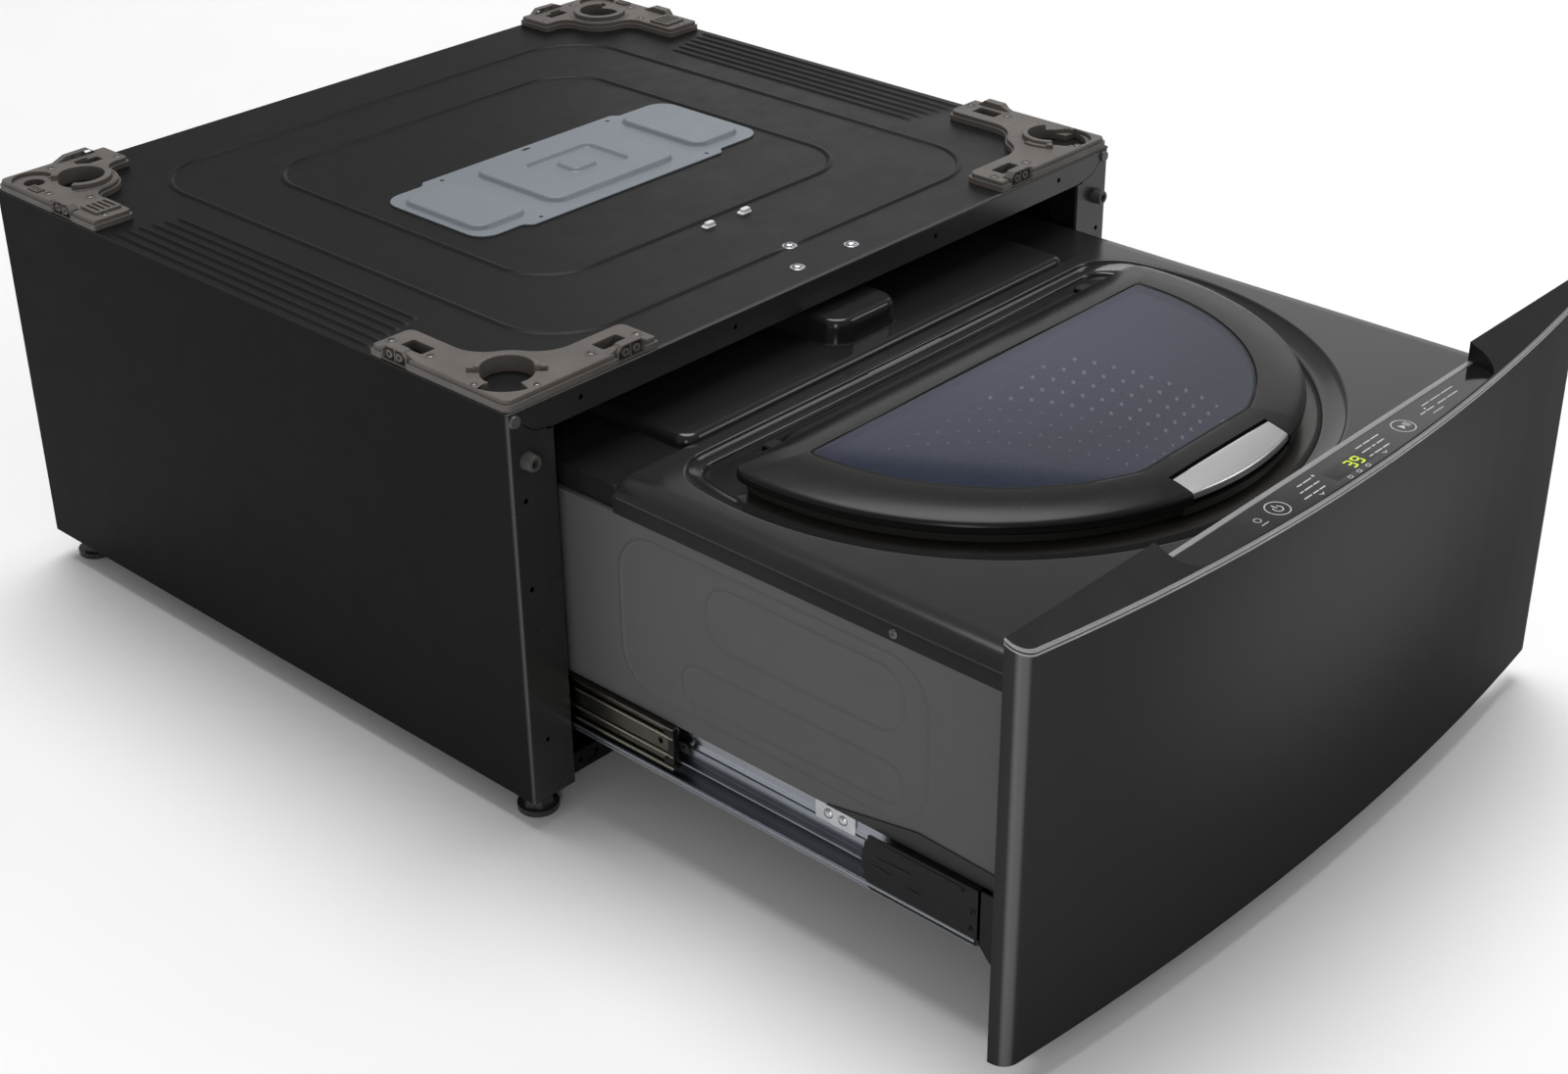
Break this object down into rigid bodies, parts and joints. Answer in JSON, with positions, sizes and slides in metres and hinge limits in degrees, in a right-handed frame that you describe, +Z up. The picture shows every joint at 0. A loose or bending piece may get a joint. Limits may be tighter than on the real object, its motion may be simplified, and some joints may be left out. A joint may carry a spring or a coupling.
{
  "type": "pedestal washer",
  "caption": "Low laundry washer in a black steel cabinet that carries a larger appliance: bowed front drawer on rails with a half-round glass lid over a flat wash basket.",
  "frame": {"origin": "on the floor, at the centre of the bounding box in plan with the drawer pulled out", "axes": "+Z up, +X to the right when seen from the front, -Y towards the front panel"},
  "size_m": [0.686, 1.1015, 0.359],
  "materials": {
    "body_black": "satin",
    "top_charcoal": "satin",
    "bracket_taupe": "matt",
    "fastener_steel": "satin",
    "cover_grey": "satin",
    "clip_white": "matt",
    "stud_grey": "matt",
    "outlet_black": "matt",
    "slide_zinc": "satin",
    "slide_yellow": "satin",
    "foot_rubber": "matt",
    "drawer_grey": "satin",
    "tray_black": "gloss",
    "inner_panel_black": "satin",
    "front_dark_steel": "satin",
    "trim_bright": "polished",
    "cap_black": "satin",
    "control_black": "gloss",
    "display_dark": "gloss",
    "tub_plastic": "matt",
    "gasket_rubber": "matt",
    "motor_iron": "matt",
    "lid_black": "satin",
    "lid_glass": "gloss",
    "handle_silver": "satin",
    "basket_steel": "polished",
    "pulsator_grey": "satin"
  },
  "bodies": {
    "cabinet": {"side_panel_left": "body_black", "side_panel_right": "body_black", "top_panel": "top_charcoal", "rear_panel": "body_black", "base_pan": "body_black", "front_bottom_rail": "body_black", "corner_bracket_front_left": "bracket_taupe", "corner_bracket_front_right": "bracket_taupe", "corner_bracket_rear_left": "bracket_taupe", "corner_bracket_rear_right": "bracket_taupe", "bracket_screws": "fastener_steel", "access_cover": "cover_grey", "top_screws": "fastener_steel", "top_clips": "clip_white", "corner_rivets": "body_black", "spacer_studs": "stud_grey", "foot_locknuts": "fastener_steel", "slide_cabinet_member_left": "slide_zinc", "slide_cabinet_member_right": "slide_zinc", "water_inlet_valve": "clip_white", "drain_outlet": "outlet_black", "cord_gland": "outlet_black"},
    "foot_front_left": {"levelling_foot_front_left": "foot_rubber"},
    "foot_front_right": {"levelling_foot_front_right": "foot_rubber"},
    "foot_rear_left": {"levelling_foot_rear_left": "foot_rubber"},
    "foot_rear_right": {"levelling_foot_rear_right": "foot_rubber"},
    "slide_middle_left": {"slide_middle_member_left": "slide_yellow"},
    "slide_middle_right": {"slide_middle_member_right": "slide_yellow"},
    "drawer": {"drawer_side_left": "drawer_grey", "drawer_side_right": "drawer_grey", "drawer_rear_panel": "drawer_grey", "drawer_base_pan": "drawer_grey", "top_cover": "tray_black", "rear_deck": "tray_black", "front_inner_panel": "inner_panel_black", "front_panel": "front_dark_steel", "front_trim": "trim_bright", "front_cap": "cap_black", "control_panel": "control_black", "control_trim": "trim_bright", "display_window": "display_dark", "slide_drawer_member_left": "slide_zinc", "slide_drawer_member_right": "slide_zinc", "slide_end_covers": "outlet_black", "slide_rivet_plates": "fastener_steel", "outer_tub": "tub_plastic", "tub_cover": "tub_plastic", "tub_gasket": "gasket_rubber", "suspension_rods": "fastener_steel", "motor_stator": "motor_iron", "drain_pump": "outlet_black"},
    "lid": {"lid_frame": "lid_black", "lid_glass": "lid_glass", "lid_hinge_pins": "trim_bright"},
    "lid_handle": {"lid_handle": "handle_silver"},
    "basket": {"wash_basket": "basket_steel", "balance_ring": "tub_plastic", "basket_shaft": "basket_steel"},
    "pulsator": {"pulsator": "pulsator_grey", "motor_rotor": "motor_iron"}
  },
  "joints": [
    {"name": "drawer_slide", "type": "slide", "parent": "cabinet", "child": "drawer", "axis": [0, -1, 0], "range_m": [-0.399, 0]},
    {"name": "slide_middle_left_travel", "type": "slide", "parent": "cabinet", "child": "slide_middle_left", "axis": [0, -1, 0], "range_m": [-0.2, 0]},
    {"name": "slide_middle_right_travel", "type": "slide", "parent": "cabinet", "child": "slide_middle_right", "axis": [0, -1, 0], "range_m": [-0.2, 0]},
    {"name": "lid_hinge", "type": "hinge", "parent": "drawer", "child": "lid", "pos_m": [0, -0.186, 0.288], "axis": [-1, 0, 0], "range_deg": [0, 80]},
    {"name": "lid_handle_pivot", "type": "hinge", "parent": "lid", "child": "lid_handle", "pos_m": [0, -0.437, 0.301], "axis": [-1, 0, 0], "range_deg": [0, 15], "stiffness_Nm_per_rad": 0.3, "springref_deg": -5.73},
    {"name": "basket_spin", "type": "hinge", "parent": "drawer", "child": "basket", "pos_m": [0, -0.239, 0.116], "axis": [0, 0, 1], "continuous": true},
    {"name": "pulsator_spin", "type": "hinge", "parent": "drawer", "child": "pulsator", "pos_m": [0, -0.239, 0.12], "axis": [0, 0, 1], "continuous": true},
    {"name": "foot_front_left_turn", "type": "hinge", "parent": "cabinet", "child": "foot_front_left", "pos_m": [-0.32, -0.066, 0], "axis": [0, 0, 1], "continuous": true},
    {"name": "foot_front_right_turn", "type": "hinge", "parent": "cabinet", "child": "foot_front_right", "pos_m": [0.32, -0.066, 0], "axis": [0, 0, 1], "continuous": true},
    {"name": "foot_rear_left_turn", "type": "hinge", "parent": "cabinet", "child": "foot_rear_left", "pos_m": [-0.32, 0.518, 0], "axis": [0, 0, 1], "continuous": true},
    {"name": "foot_rear_right_turn", "type": "hinge", "parent": "cabinet", "child": "foot_rear_right", "pos_m": [0.32, 0.518, 0], "axis": [0, 0, 1], "continuous": true}
  ],
  "couplings": [
    {"joint": "slide_middle_left_travel", "follows": "drawer_slide", "ratio": 0.5},
    {"joint": "slide_middle_right_travel", "follows": "drawer_slide", "ratio": 0.5}
  ]
}
